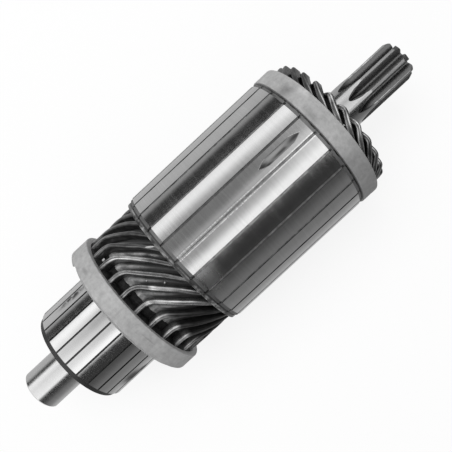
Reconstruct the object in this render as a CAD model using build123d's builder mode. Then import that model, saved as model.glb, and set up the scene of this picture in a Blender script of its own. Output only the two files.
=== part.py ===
from build123d import *
from math import atan2, ceil, cos, degrees, pi, radians, sin, sqrt, tan
import os

# Motor armature, lying along X: commutator at the -X end, pinion at the +X end.
# Millimetres. The origin is on the shaft axis, halfway along the shaft, and +Z is up.
# Angles about the shaft start at +Z and grow towards -Y, the right-handed way about +X.

# Shaft
shaft_length = 236.8
journal_radius = 10.6
journal_length = 26.3
shaft_chamfer = 0.8
commutator_seat_radius = 10.9
core_seat_radius = 12.0
core_seat_margin = 4.0
centre_drill_radius = 1.6
centre_drill_depth = 5.0
centre_cone_radius = 3.4
drive_shaft_radius = 10.5

# Pinion, cut into the drive end of the shaft
pinion_teeth = 9
pinion_root_depth = 4.0
pinion_tooth_length = 23.1
pinion_land_width = 1.2
pinion_root_width = 1.8
pinion_flank_bulge = 0.4
pinion_lead_length = 2.6
pinion_lead_depth = 1.1
pinion_runout_length = 10.7
pinion_turn = -7.0

# Commutator
bar_count = 25
brush_track_radius = 26.45
brush_track_length = 30.1
riser_length = 7.5
riser_width = 4.7
end_ring_thickness = 2.6
end_ring_step = 1.25
bar_height = 6.95
dovetail_height = 2.0
dovetail_reach = 3.0
dovetail_flare = 1.0
mica_thickness = 0.9
mica_undercut = 0.8
commutator_turn = 6.4

# Laminated core
core_radius = 38.0
core_length = 76.5
slot_turn = -1.0
slot_opening = 1.2
tooth_tip_height = 2.3
end_lamination_thickness = 1.4
end_lamination_step = 0.4
end_plate_thickness = 2.3
end_rim_length = 1.45
end_plate_step = 1.0
drive_plate_thickness = 0.8

# Balance cut, milled across one tooth of the core
balance_cut_length = 23.5
balance_cut_depth = 1.3
balance_cut_width = 3.6
balance_tip_height = 0.8
balance_cut_from_end = 15.4
balance_cut_turn = -8.1

# Winding: flat bars bent to hairpins, one leg in the outer layer and one in the inner layer
conductor_width = 2.5
conductor_height = 4.2
layer_gap = 1.0
coil_throw = 6
commutator_overhang = 27.85
drive_overhang = 15.95
straight_ends = 9.5
slot_bend_radius = 1.5
riser_bend_radius = 6.0
drive_bend_radius = 3.0
middle_bend_radius = 8.0
gentle_length = 13.0
gentle_turn = 24.05
slot_bend_limit = 70.0
drive_bend_limit = 64.0
nose_turn = 8.0
conductor_end_inset = 0.8

# Insulation
liner_wall = 0.2
sleeve_thickness = 0.8
sleeve_inset = 7.3
drive_sleeve_inset = 5.0

# Bands of resin-bonded fibre over both ends of the winding
band_thickness = 2.93
commutator_band_width = 8.7
commutator_band_inset = 1.3
drive_band_width = 8.6
drive_band_gap = 0.95
band_edge_radius = 0.5

# Clearance between pieces that are slid together
clearance = 0.05

# Places along the shaft, from the commutator end to the drive end
commutator_end = -shaft_length / 2
drive_end = shaft_length / 2
ring_start = commutator_end + journal_length
bar_start = ring_start + end_ring_thickness
riser_start = bar_start + brush_track_length
riser_end = riser_start + riser_length
plate_start = riser_end + commutator_overhang
plate_sheet_start = plate_start + end_rim_length
lamination_start = plate_start + end_plate_thickness
core_start = lamination_start + end_lamination_thickness
core_end = core_start + core_length
lamination_end = core_end + end_lamination_thickness
plate_end = lamination_end + drive_plate_thickness
winding_end = plate_end + drive_overhang
pinion_start = drive_end - pinion_tooth_length
commutator_band_start = riser_start + commutator_band_inset
drive_band_start = lamination_end + drive_band_gap

# Radii of the slots, their liners and the two layers of the winding
slot_top_radius = core_radius - tooth_tip_height
liner_top_radius = slot_top_radius - clearance
winding_radius = liner_top_radius - liner_wall - clearance
layer_pitch = conductor_height + layer_gap
outer_layer_radius = winding_radius - conductor_height / 2
inner_layer_radius = outer_layer_radius - layer_pitch
winding_inner_radius = inner_layer_radius - conductor_height / 2
liner_bottom_radius = winding_inner_radius - clearance - liner_wall
slot_bottom_radius = liner_bottom_radius - clearance
liner_width = conductor_width + 2 * clearance + 2 * liner_wall
slot_width = liner_width + 2 * clearance
band_inner_radius = winding_radius + clearance
band_outer_radius = band_inner_radius + band_thickness

# Pitches
slot_pitch = 360 / bar_count
pinion_pitch = 360 / pinion_teeth

os.makedirs("parts", exist_ok=True)


def outward(angle):
    """Unit vector from the shaft axis outwards at an angle in degrees."""
    return Vector(0, -sin(radians(angle)), cos(radians(angle)))


def onward(angle):
    """Unit vector around the shaft, in the direction that the angle grows."""
    return Vector(0, -cos(radians(angle)), -sin(radians(angle)))


def axial_plane(angle):
    """Plane through the shaft axis: its x runs along the shaft and its y outwards."""
    return Plane(origin=(0, 0, 0), x_dir=(1, 0, 0), z_dir=onward(angle))


def cross_plane(x, angle=0.0):
    """Plane across the shaft at x: its y runs outwards at the angle."""
    return Plane(origin=(x, 0, 0), x_dir=-onward(angle), z_dir=(1, 0, 0))


def save(part, name):
    """Label a finished piece and write it to its own file."""
    part.label = name
    export_step(part, f"parts/{name}.step")


# Shaft: turned in one piece, with the pinion teeth milled into its drive end
pinion_tip_radius = drive_shaft_radius
pinion_root_radius = pinion_tip_radius - pinion_root_depth
cutter_radius = (pinion_runout_length**2 + pinion_root_depth**2) / (2 * pinion_root_depth)
land_turn = degrees(pinion_land_width / pinion_tip_radius)
gap_half_turn = radians(pinion_pitch - land_turn) / 2
gap_top = Vector(pinion_tip_radius * sin(gap_half_turn), pinion_tip_radius * cos(gap_half_turn))
gap_root = Vector(pinion_root_width / 2, pinion_root_radius + pinion_root_width / 2)
gap_flank = (gap_top + gap_root) * 0.5 + Vector(-pinion_flank_bulge, pinion_flank_bulge / 2)
gap_outside = gap_top + (gap_top - gap_flank) * 0.5

with BuildPart() as pinion_gap:
    with BuildSketch(cross_plane(pinion_start)) as gap_profile:
        with BuildLine():
            ThreePointArc(gap_root, gap_flank, gap_top)
            Line(gap_top, gap_outside)
            Line(gap_outside, (0, gap_outside.Y))
            Line((0, gap_outside.Y), (0, pinion_root_radius))
            ThreePointArc(
                (0, pinion_root_radius),
                (
                    pinion_root_width / 2 * sin(pi / 4),
                    pinion_root_radius + pinion_root_width / 2 * (1 - cos(pi / 4)),
                ),
                gap_root,
            )
        make_face()
        mirror(about=Plane.YZ)
    extrude(amount=pinion_tooth_length + 1)
    # the milling cutter leaves the groove on an arc
    with BuildSketch(cross_plane(pinion_start)):
        add(gap_profile.sketch_local)
    cutter_axis = Axis((pinion_start, 0, pinion_root_radius + cutter_radius), (0, 1, 0))
    revolve(axis=cutter_axis, revolution_arc=90)

with BuildPart() as armature_shaft:
    with BuildSketch(Plane.XZ):
        with BuildLine():
            Polyline(
                (commutator_end, 0),
                (commutator_end, journal_radius - shaft_chamfer),
                (commutator_end + shaft_chamfer, journal_radius),
                (ring_start, journal_radius),
                (ring_start, commutator_seat_radius),
                (plate_start - core_seat_margin, commutator_seat_radius),
                (plate_start - core_seat_margin, core_seat_radius),
                (plate_end, core_seat_radius),
                (plate_end, drive_shaft_radius),
                (drive_end - pinion_lead_length, drive_shaft_radius),
                (drive_end, drive_shaft_radius - pinion_lead_depth),
                (drive_end, 0),
                close=True,
            )
        make_face()
    revolve(axis=Axis.X)
    for tooth in range(pinion_teeth):
        add(pinion_gap.part.rotate(Axis.X, pinion_turn + tooth * pinion_pitch), mode=Mode.SUBTRACT)
    # centre drillings for turning between centres
    for end, inward in ((commutator_end, 1), (drive_end, -1)):
        with BuildSketch(Plane.XZ):
            with BuildLine():
                cone_depth = centre_cone_radius - centre_drill_radius
                Polyline(
                    (end, 0),
                    (end, centre_cone_radius),
                    (end + inward * cone_depth, centre_drill_radius),
                    (end + inward * (cone_depth + centre_drill_depth), centre_drill_radius),
                    (end + inward * (cone_depth + centre_drill_depth + centre_drill_radius / 2), 0),
                    close=True,
                )
            make_face()
        revolve(axis=Axis.X, mode=Mode.SUBTRACT)
save(armature_shaft.part, "armature_shaft")


# Core: a stack of steel sheets with half-closed slots, ground on the outside
def slotted_sheet(radius, opening, depth_radius=slot_top_radius):
    """Draw one sheet of the core, with its slots open to the outside."""
    Circle(radius)
    Circle(core_seat_radius, mode=Mode.SUBTRACT)
    slot_height = depth_radius - slot_bottom_radius
    with PolarLocations(slot_bottom_radius + slot_height / 2, bar_count, start_angle=90 + slot_turn):
        Rectangle(slot_height, slot_width, mode=Mode.SUBTRACT)
    mouth_height = radius - depth_radius + 1
    with PolarLocations(depth_radius + mouth_height / 2, bar_count, start_angle=90 + slot_turn):
        Rectangle(mouth_height, opening, mode=Mode.SUBTRACT)


with BuildPart() as core_stack:
    with BuildSketch(Plane.YZ.offset(core_start)):
        slotted_sheet(core_radius, slot_opening)
    extrude(amount=core_length)
    # balance cut: a pointed milling disc dipped into the outside of one tooth
    balance_x = core_end - balance_cut_from_end
    disc_radius = ((balance_cut_length / 2) ** 2 + balance_cut_depth**2) / (2 * balance_cut_depth)
    cut_bottom = core_radius - balance_cut_depth
    with BuildSketch(cross_plane(balance_x, balance_cut_turn)):
        with BuildLine():
            Polyline(
                (0, cut_bottom),
                (balance_cut_width / 2, cut_bottom + balance_tip_height),
                (balance_cut_width / 2, core_radius + 1),
                (-balance_cut_width / 2, core_radius + 1),
                (-balance_cut_width / 2, cut_bottom + balance_tip_height),
                close=True,
            )
        make_face()
    disc_centre = Vector(balance_x, 0, 0) + outward(balance_cut_turn) * (cut_bottom + disc_radius)
    revolve(axis=Axis(disc_centre, onward(balance_cut_turn)), mode=Mode.SUBTRACT)
save(core_stack.part, "core_stack")

# End laminations: the last sheet at each end, too small for the grinding wheel to touch
with BuildPart() as end_laminations:
    for sheet_start in (lamination_start, core_end):
        with BuildSketch(Plane.YZ.offset(sheet_start)):
            slotted_sheet(core_radius - end_lamination_step, slot_opening)
    extrude(amount=end_lamination_thickness)
save(end_laminations.part, "end_laminations")

# End plates: fibre sheets with slots that keep the conductors off the steel edges. The one at
# the commutator end has a rim that stands out over the conductors where they bend into the slots.
with BuildPart() as end_plates:
    with BuildSketch(Plane.YZ.offset(plate_sheet_start)):
        slotted_sheet(core_radius - end_plate_step, slot_opening)
    extrude(amount=end_plate_thickness - end_rim_length)
    with BuildSketch(Plane.YZ.offset(plate_start)):
        Circle(core_radius - end_plate_step)
        Circle(band_inner_radius, mode=Mode.SUBTRACT)
    extrude(amount=end_rim_length)
    with BuildSketch(Plane.YZ.offset(lamination_end)):
        slotted_sheet(winding_radius, slot_width, winding_inner_radius)
    extrude(amount=drive_plate_thickness)
save(end_plates.part, "end_plates")

# Slot liners: a paper tube in each slot, from one end plate to the other
with BuildPart() as slot_liners:
    liner_height = liner_top_radius - liner_bottom_radius
    with BuildSketch(Plane.YZ.offset(plate_sheet_start)):
        middle = (liner_top_radius + liner_bottom_radius) / 2
        with PolarLocations(middle, bar_count, start_angle=90 + slot_turn):
            Rectangle(liner_height, liner_width)
            Rectangle(liner_height - 2 * liner_wall, liner_width - 2 * liner_wall, mode=Mode.SUBTRACT)
    extrude(amount=plate_end - plate_sheet_start)
save(slot_liners.part, "slot_liners")

# Commutator: copper bars with dovetailed feet in a moulding that is pressed on the shaft
bar_foot_radius = brush_track_radius - bar_height
bar_neck_radius = bar_foot_radius + dovetail_height
bar_turn = slot_turn + commutator_turn


def foot_outline(flare):
    """Underside of the commutator, from the riser end to the ring end, with its dovetailed foot."""
    return [
        (riser_end, bar_neck_radius),
        (riser_end - dovetail_reach, bar_neck_radius),
        (riser_end - dovetail_reach + flare, bar_foot_radius),
        (bar_start + dovetail_reach - flare, bar_foot_radius),
        (bar_start + dovetail_reach, bar_neck_radius),
        (bar_start, bar_neck_radius),
    ]


with BuildPart() as first_bar:
    with BuildSketch(Plane.XZ):
        with BuildLine():
            Polyline(
                (bar_start, brush_track_radius),
                (riser_end, brush_track_radius),
                *foot_outline(dovetail_flare),
                close=True,
            )
        make_face()
    revolve(axis=Axis.X, revolution_arc=slot_pitch)
first_bar_blank = first_bar.part.rotate(Axis.X, -slot_pitch / 2)

# the corners of a riser lie level with the outer layer of the winding
riser_top = sqrt(winding_radius**2 - (riser_width / 2) ** 2)

with BuildPart() as bar_shape:
    add(first_bar_blank)
    # riser, which reaches up to the outer layer of the winding
    with BuildSketch(axial_plane(0)):
        with Locations((riser_start + riser_length / 2, (bar_neck_radius + riser_top) / 2)):
            Rectangle(riser_length, riser_top - bar_neck_radius)
    extrude(amount=riser_width / 2, both=True)
    # parallel sides, where the mica lies between two bars
    for side in (-1, 1):
        with BuildSketch(axial_plane(side * slot_pitch / 2)):
            with Locations(((bar_start + riser_end) / 2, winding_radius / 2)):
                Rectangle(riser_end - bar_start + 2, winding_radius + 2)
        extrude(amount=mica_thickness / 2, both=True, mode=Mode.SUBTRACT)
    # slot in the riser for the ends of two conductors
    slot_floor = winding_inner_radius - clearance
    with BuildSketch(axial_plane(0)):
        with Locations((riser_start + riser_length / 2, (slot_floor + winding_radius + 1) / 2)):
            Rectangle(riser_length + 2, winding_radius + 1 - slot_floor)
    extrude(amount=conductor_width / 2 + clearance, both=True, mode=Mode.SUBTRACT)

for bar in range(bar_count):
    with BuildPart() as commutator_bar:
        add(bar_shape.part.rotate(Axis.X, bar_turn + bar * slot_pitch))
    save(commutator_bar.part, f"commutator_bar_{bar + 1:02d}")

# Mica: a thin plate between each pair of bars, cut back below the brush track
with BuildPart() as mica_segments:
    for segment in range(bar_count):
        with BuildSketch(axial_plane(bar_turn + (segment + 0.5) * slot_pitch)):
            with BuildLine():
                Polyline(
                    (bar_start, brush_track_radius - mica_undercut),
                    (riser_end, brush_track_radius - mica_undercut),
                    *foot_outline(0),
                    close=True,
                )
            make_face()
        extrude(amount=mica_thickness / 2, both=True)
save(mica_segments.part, "mica_segments")

# Moulding: holds the feet of the bars and shows as a dark ring at the end of the commutator
with BuildPart() as commutator_moulding:
    with BuildSketch(Plane.XZ):
        with BuildLine():
            Polyline(
                (ring_start, commutator_seat_radius),
                (riser_end, commutator_seat_radius),
                *foot_outline(dovetail_flare),
                (bar_start, brush_track_radius - end_ring_step),
                (ring_start, brush_track_radius - end_ring_step),
                close=True,
            )
        make_face()
    revolve(axis=Axis.X)
save(commutator_moulding.part, "commutator_moulding")

# Sleeves: rings of insulating paper between the two layers of the winding
sleeve_radius = winding_radius - conductor_height - (layer_gap - sleeve_thickness) / 2
sleeve_start = riser_end + sleeve_inset
with BuildPart() as layer_sleeves:
    with BuildSketch(Plane.YZ.offset(sleeve_start)):
        Circle(sleeve_radius)
        Circle(sleeve_radius - sleeve_thickness, mode=Mode.SUBTRACT)
    extrude(amount=plate_start - clearance - sleeve_start)
    drive_sleeve_start = plate_end + clearance
    with BuildSketch(Plane.YZ.offset(drive_sleeve_start)):
        Circle(sleeve_radius)
        Circle(sleeve_radius - sleeve_thickness, mode=Mode.SUBTRACT)
    extrude(amount=winding_end - drive_sleeve_inset - drive_sleeve_start)
save(layer_sleeves.part, "layer_sleeves")

# Bands over the ends of the winding
for band_name, band_start, band_width in (
    ("commutator_band", commutator_band_start, commutator_band_width),
    ("drive_band", drive_band_start, drive_band_width),
):
    with BuildPart() as band:
        with BuildSketch(Plane.YZ.offset(band_start)):
            Circle(band_outer_radius)
            Circle(band_inner_radius, mode=Mode.SUBTRACT)
        extrude(amount=band_width)
        outer_edges = band.edges().filter_by(GeomType.CIRCLE).sort_by(SortBy.RADIUS)[-2:]
        fillet(outer_edges, radius=band_edge_radius)
    save(band.part, band_name)

# Hairpin coils. A route is laid out on an unrolled layer, as x along the shaft and u around it,
# with its corners rounded by arcs, and is then wrapped back round the shaft.
bend_steps = 4
wrap_step = 9.0
nose_steps = 8


def heading(start, end):
    """Direction from one unrolled point to another, in radians from +x towards +u."""
    return atan2(end[1] - start[1], end[0] - start[0])


def rounded_route(corners, bends, radius):
    """Stations, each x, angle, radius and heading, along a layer of the winding."""
    points = [(x, radius * radians(angle)) for x, angle in corners]
    marks = [(points[0], heading(points[0], points[1]))]
    for before, corner, after, bend in zip(points, points[1:], points[2:], bends):
        first, last = heading(before, corner), heading(corner, after)
        turn = (last - first + pi) % (2 * pi) - pi
        side = 1 if turn > 0 else -1
        reach = bend * tan(abs(turn) / 2)
        centre_x = corner[0] - reach * cos(first) - side * bend * sin(first)
        centre_u = corner[1] - reach * sin(first) + side * bend * cos(first)
        for step in range(bend_steps + 1):
            way = first + turn * step / bend_steps
            point = (centre_x + side * bend * sin(way), centre_u - side * bend * cos(way))
            marks.append((point, way))
    marks.append((points[-1], heading(points[-2], points[-1])))
    stations = []
    for (start, way), (end, next_way) in zip(marks, marks[1:]):
        stations.append((start[0], degrees(start[1] / radius), radius, way))
        spans = ceil(abs(degrees((end[1] - start[1]) / radius)) / wrap_step)
        if abs(way - next_way) < 1e-6:
            for span in range(1, spans):
                x = start[0] + (end[0] - start[0]) * span / spans
                u = start[1] + (end[1] - start[1]) * span / spans
                stations.append((x, degrees(u / radius), radius, way))
    end, way = marks[-1]
    stations.append((end[0], degrees(end[1] / radius), radius, way))
    return stations


def section_plane(x, angle, radius, along):
    """Plane across a conductor: its y lies along the conductor's height."""
    out = outward(angle)
    return Plane(origin=Vector(x, 0, 0) + out * radius, x_dir=along.cross(out), z_dir=along)


# outer leg, from the riser to the nose, for the coil whose outer leg lies in the first slot
outer_bar_turn = slot_turn - (coil_throw / 2 * slot_pitch - commutator_turn)
conductor_end = riser_start + conductor_end_inset
outer_bend_x = riser_end + straight_ends
slot_bend_reach = slot_bend_radius * tan(radians(slot_bend_limit / 2))
slot_bend_x = plate_sheet_start - clearance - slot_bend_reach
drive_bend_x = plate_end + clearance + drive_bend_radius * tan(radians(drive_bend_limit / 2))
nose_apex_x = winding_end - conductor_width / 2
outer_slot_turn = slot_turn
inner_slot_turn = slot_turn - coil_throw * slot_pitch
outer_nose_turn = slot_turn - (coil_throw * slot_pitch - nose_turn) / 2
inner_nose_turn = outer_nose_turn - nose_turn
outer_nose_length = outer_layer_radius * radians(nose_turn)
inner_nose_length = inner_layer_radius * radians(nose_turn)
outer_drive_run = outer_layer_radius * radians(outer_slot_turn - outer_nose_turn)
inner_drive_run = inner_layer_radius * radians(inner_nose_turn - inner_slot_turn)
# the nose rises from where the slanted runs end, by an eighth of what their slopes give
slant_share = (outer_nose_length / outer_drive_run + inner_nose_length / inner_drive_run) / 8
nose_start_x = drive_bend_x + (nose_apex_x - drive_bend_x) / (1 + slant_share)
slant_length = nose_start_x - drive_bend_x

outer_leg = rounded_route(
    [
        (conductor_end, outer_bar_turn),
        (outer_bend_x, outer_bar_turn),
        (outer_bend_x + gentle_length, outer_bar_turn + gentle_turn),
        (slot_bend_x, outer_slot_turn),
        (drive_bend_x, outer_slot_turn),
        (nose_start_x, outer_nose_turn),
    ],
    [riser_bend_radius, middle_bend_radius, slot_bend_radius, drive_bend_radius],
    outer_layer_radius,
)

# inner leg, from the nose back to the riser of the bar beside the first
inner_bar_turn = outer_bar_turn - slot_pitch
inner_leg = rounded_route(
    [
        (nose_start_x, inner_nose_turn),
        (drive_bend_x, inner_slot_turn),
        (slot_bend_x, inner_slot_turn),
        (outer_bend_x, inner_bar_turn),
        (conductor_end, inner_bar_turn),
    ],
    [drive_bend_radius, slot_bend_radius, riser_bend_radius],
    inner_layer_radius,
)


def nose_point(share):
    """Point on the nose of a hairpin, from 0 at the outer layer to 1 at the inner layer."""
    angle = outer_nose_turn - nose_turn * share
    drop = share**2 * (3 - 2 * share)
    radius = outer_layer_radius - layer_pitch * drop
    rise_out = slant_length * outer_nose_length / outer_drive_run
    rise_in = slant_length * inner_nose_length / inner_drive_run
    x = nose_start_x + rise_out * share * (1 - share) ** 2 + rise_in * share**2 * (1 - share)
    return x, angle, radius


def place(x, angle, radius):
    """Point in space from its place along, around and out from the shaft."""
    return Vector(x, 0, 0) + outward(angle) * radius


with BuildPart() as coil_shape:
    for x, angle, radius, way in outer_leg:
        along = Vector(cos(way), 0, 0) + onward(angle) * sin(way)
        with BuildSketch(section_plane(x, angle, radius, along)):
            Rectangle(conductor_width, conductor_height)
    for step in range(1, nose_steps):
        share = step / nose_steps
        along = place(*nose_point(share + 0.001)) - place(*nose_point(share - 0.001))
        with BuildSketch(section_plane(*nose_point(share), along.normalized())):
            Rectangle(conductor_width, conductor_height)
    for x, angle, radius, way in inner_leg:
        along = Vector(cos(way), 0, 0) + onward(angle) * sin(way)
        with BuildSketch(section_plane(x, angle, radius, along)):
            Rectangle(conductor_width, conductor_height)
    loft(ruled=True)

for coil in range(bar_count):
    with BuildPart() as hairpin_coil:
        add(coil_shape.part.rotate(Axis.X, coil * slot_pitch))
    save(hairpin_coil.part, f"hairpin_coil_{coil + 1:02d}")
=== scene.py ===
"""Looks of a motor armature: materials, bent conductors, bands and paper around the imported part.

The armature lies along X with its commutator at -X. Lengths in this script are millimetres
and are turned into metres where a mesh is made. Angles about the shaft are in degrees, from
+Z towards -Y. The photograph is grey, so every finish here is a grey.
"""

import math
import random

import bpy
from mathutils import Matrix, Vector, noise


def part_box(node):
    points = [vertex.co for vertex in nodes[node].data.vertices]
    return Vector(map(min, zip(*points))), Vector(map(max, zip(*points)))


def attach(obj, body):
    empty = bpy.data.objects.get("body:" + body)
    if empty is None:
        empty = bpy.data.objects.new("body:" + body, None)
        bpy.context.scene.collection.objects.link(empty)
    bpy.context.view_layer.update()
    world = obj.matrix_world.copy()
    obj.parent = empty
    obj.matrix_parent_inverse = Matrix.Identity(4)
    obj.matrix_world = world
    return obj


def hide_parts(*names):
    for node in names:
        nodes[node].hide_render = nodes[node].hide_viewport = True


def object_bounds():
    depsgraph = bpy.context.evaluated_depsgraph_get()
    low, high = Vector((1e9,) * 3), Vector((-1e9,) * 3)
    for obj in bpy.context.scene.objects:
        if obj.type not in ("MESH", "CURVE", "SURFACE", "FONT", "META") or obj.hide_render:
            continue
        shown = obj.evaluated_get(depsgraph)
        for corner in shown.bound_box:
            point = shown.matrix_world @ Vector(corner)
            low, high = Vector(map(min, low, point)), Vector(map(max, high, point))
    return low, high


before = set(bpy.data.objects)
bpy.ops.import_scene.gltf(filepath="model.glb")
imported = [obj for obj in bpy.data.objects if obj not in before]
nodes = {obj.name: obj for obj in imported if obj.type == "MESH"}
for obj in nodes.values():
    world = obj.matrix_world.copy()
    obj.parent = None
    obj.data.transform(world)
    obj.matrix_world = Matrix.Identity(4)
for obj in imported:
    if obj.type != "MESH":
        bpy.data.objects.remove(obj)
cad_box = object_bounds()

MM = 0.001
BODY = "root"


def ends(node):
    """Places along the shaft where a CAD node starts and ends."""
    low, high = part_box(node)
    return low.x / MM, high.x / MM


core_start, core_end = ends("core_stack")
plate_start, plate_end = ends("end_plates")
band_start, band_end = ends("commutator_band")
drive_band_start, drive_band_end = ends("drive_band")
paper_start, paper_end = ends("layer_sleeves")
conductor_start, winding_end = ends("hairpin_coil_01")

# Sizes of the steel and copper, which the marks on them follow
core_radius = 38.0
slot_half_width = 0.6
track_radius = 26.45
drive_radius = 10.5
groove_start = 84.3
pinion_start = 95.3
tooth_pitch = 40.0
tooth_turn = 7.0
cut_x = core_end - 15.4
cut_angle = -8.1
cut_half_length = 12.0
cut_half_turn = 3.2


def outward(angle):
    """Unit vector from the shaft axis outwards."""
    return Vector((0, -math.sin(math.radians(angle)), math.cos(math.radians(angle))))


def onward(angle):
    """Unit vector around the shaft, the way the angle grows."""
    return Vector((0, -math.cos(math.radians(angle)), -math.sin(math.radians(angle))))


def place(x, angle, radius):
    """Point from its place along, around and out from the shaft."""
    return Vector((x, 0, 0)) + outward(angle) * radius


def held(value):
    """A number held between 0 and 1."""
    return min(1.0, max(0.0, value))


def from_middle(u, v, at_u, at_v, half_u, half_v):
    """How far a place is from the middle of an oval, whose edge is at 1."""
    return math.hypot((u - at_u) / half_u, (v - at_v) / half_v)


# Camera, fitted to the photograph: straight above the part, which runs across it slantwise
camera_place = (8.164, -2.487, 253.085)
camera_tilt = 1.1975
camera_roll = 42.850
focal_pixels = 520.27
picture_pixels = 452
sensor_width = 36.0

camera_data = bpy.data.cameras.new("camera")
camera_data.sensor_width = sensor_width
camera_data.lens = focal_pixels * sensor_width / picture_pixels
camera_data.clip_start = 0.01
camera_data.clip_end = 100.0
camera = bpy.data.objects.new("camera", camera_data)
camera.matrix_world = (
    Matrix.Translation(Vector(camera_place) * MM)
    @ Matrix.Rotation(math.radians(camera_tilt), 4, "Y")
    @ Matrix.Rotation(math.radians(-camera_roll), 4, "Z")
)
bpy.context.collection.objects.link(camera)
bpy.context.scene.camera = camera
bpy.context.scene.view_settings.view_transform = "Standard"


# Materials
class Nodes:
    """A node tree, to which nodes are added one by one."""

    def __init__(self, tree):
        self.tree = tree

    def node(self, kind, inputs=None, **settings):
        """Add a node, set its inputs by name or number and return it."""
        made = self.tree.nodes.new("ShaderNode" + kind)
        for key, value in settings.items():
            setattr(made, key, value)
        for key, value in (inputs or {}).items():
            self.join(value, made.inputs[key])
        return made

    def join(self, value, socket):
        """Link an output to a socket, or set the socket's own value."""
        if isinstance(value, bpy.types.NodeSocket):
            self.tree.links.new(value, socket)
        else:
            socket.default_value = value

    def math(self, operation, first, second=0.0, third=None):
        inputs = {0: first, 1: second}
        if third is not None:
            inputs[2] = third
        return self.node("Math", inputs, operation=operation).outputs[0]

    def times(self, first, second):
        return self.math("MULTIPLY", first, second)

    def vary(self, value, pattern, amount):
        """A value that goes up and down with a pattern from 0 to 1."""
        return self.math("MULTIPLY_ADD", self.math("SUBTRACT", pattern, 0.5), amount, value)

    def mix(self, factor, first, second):
        """Number between first and second."""
        return self.node("Mix", {0: factor, 2: first, 3: second}, data_type="FLOAT").outputs[0]

    def spread(self, value, low, high, from_low=0.3, from_high=0.7):
        """Map a range of a value smoothly to another range, held at both ends."""
        return self.node(
            "MapRange",
            {0: value, 1: from_low, 2: from_high, 3: low, 4: high},
            interpolation_type="SMOOTHSTEP",
            clamp=True,
        ).outputs[0]

    def near(self, value, centre, half, edge):
        """1 where a value lies within half of centre, falling to 0 over the edge."""
        away = self.math("ABSOLUTE", self.math("SUBTRACT", value, centre))
        return self.spread(away, 1.0, 0.0, half, half + edge)


class Finish(Nodes):
    """A material whose nodes are added one by one around a Principled shader."""

    def __init__(self, name):
        self.material = bpy.data.materials.new(name)
        self.material.use_nodes = True
        super().__init__(self.material.node_tree)
        self.tree.nodes.clear()
        self.output = self.tree.nodes.new("ShaderNodeOutputMaterial")
        self.coords = self.tree.nodes.new("ShaderNodeTexCoord").outputs["Object"]

    def finished(self, value, rough, normal, **more):
        """The material, with a Principled shader in a grey joined to its output."""
        inputs = {"Base Color": self.grey(value), "Roughness": rough, "Normal": normal}
        inputs.update({key.replace("_", " "): number for key, number in more.items()})
        self.join(self.node("BsdfPrincipled", inputs).outputs[0], self.output.inputs["Surface"])
        return self.material

    def grey(self, value):
        """A number as a grey colour."""
        return self.node("CombineColor", {0: value, 1: value, 2: value}).outputs[0]

    def around(self):
        """Place along the shaft in mm, angle about it in degrees and distance from it in mm."""
        if not hasattr(self, "_around"):
            parts = self.node("SeparateXYZ", {0: self.coords}).outputs
            x = self.times(parts[0], 1 / MM)
            y = self.times(parts[1], -1.0)
            turn = self.math("ARCTAN2", y, parts[2])
            angle = self.times(turn, 180 / math.pi)
            square = self.math("MULTIPLY_ADD", parts[1], parts[1], self.times(parts[2], parts[2]))
            radius = self.times(self.math("SQRT", square), 1 / MM)
            self._around = (x, angle, radius)
        return self._around

    def noise(self, along, across, detail=3.0, roughness=0.5, seed=0.0):
        """Noise from 0 to 1 with so many cycles per mm along the shaft and across it."""
        scale = (along / MM, across / MM, across / MM)
        inputs = {"Vector": self.coords, "Scale": scale, "Location": (seed, seed, seed)}
        mapped = self.node("Mapping", inputs).outputs[0]
        inputs = {"Vector": mapped, "Scale": 1.0, "Detail": detail, "Roughness": roughness}
        return self.node("TexNoise", inputs).outputs[0]

    def bump(self, height, distance):
        """Normal bent by a height from 0 to 1, which stands for a distance in mm."""
        inputs = {"Height": height, "Distance": distance * MM, "Strength": 1.0}
        return self.node("Bump", inputs).outputs[0]

    def attribute(self, name):
        """A number that the mesh gives at each point."""
        return self.node("Attribute", attribute_name=name).outputs["Fac"]

    def spot(self, x, angle, half_x, half_angle, edge=0.8):
        """1 inside an oval place on the surface, falling to 0 outside."""
        px, pa, _ = self.around()
        dx = self.math("DIVIDE", self.math("SUBTRACT", px, x), half_x)
        da = self.math("DIVIDE", self.math("SUBTRACT", pa, angle), half_angle)
        away = self.math("SQRT", self.math("MULTIPLY_ADD", dx, dx, self.times(da, da)))
        return self.spread(away, 1.0, 0.0, 1.0 - edge, 1.0 + edge)


def metal_finish(name, tone, roughness, grain, streaks=0.05, blotches=0.05):
    """Turned or ground metal: fine lines around the shaft, with uneven bands and faint blotches."""
    f = Finish(name)
    fine = f.noise(6.0, 0.05, 2.0)
    coarse = f.noise(0.9, 0.02, 3.0, seed=4.0)
    blotch = f.noise(0.12, 0.12, 4.0, seed=9.0)
    value = f.vary(tone, fine, streaks * 2)
    value = f.vary(value, coarse, streaks * 2)
    value = f.vary(value, blotch, blotches * 2)
    rough = f.vary(roughness, coarse, 0.12)
    rough = f.vary(rough, blotch, 0.10)
    normal = f.bump(f.math("MULTIPLY_ADD", coarse, 0.6, fine), grain)
    return f, value, rough, normal


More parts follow.
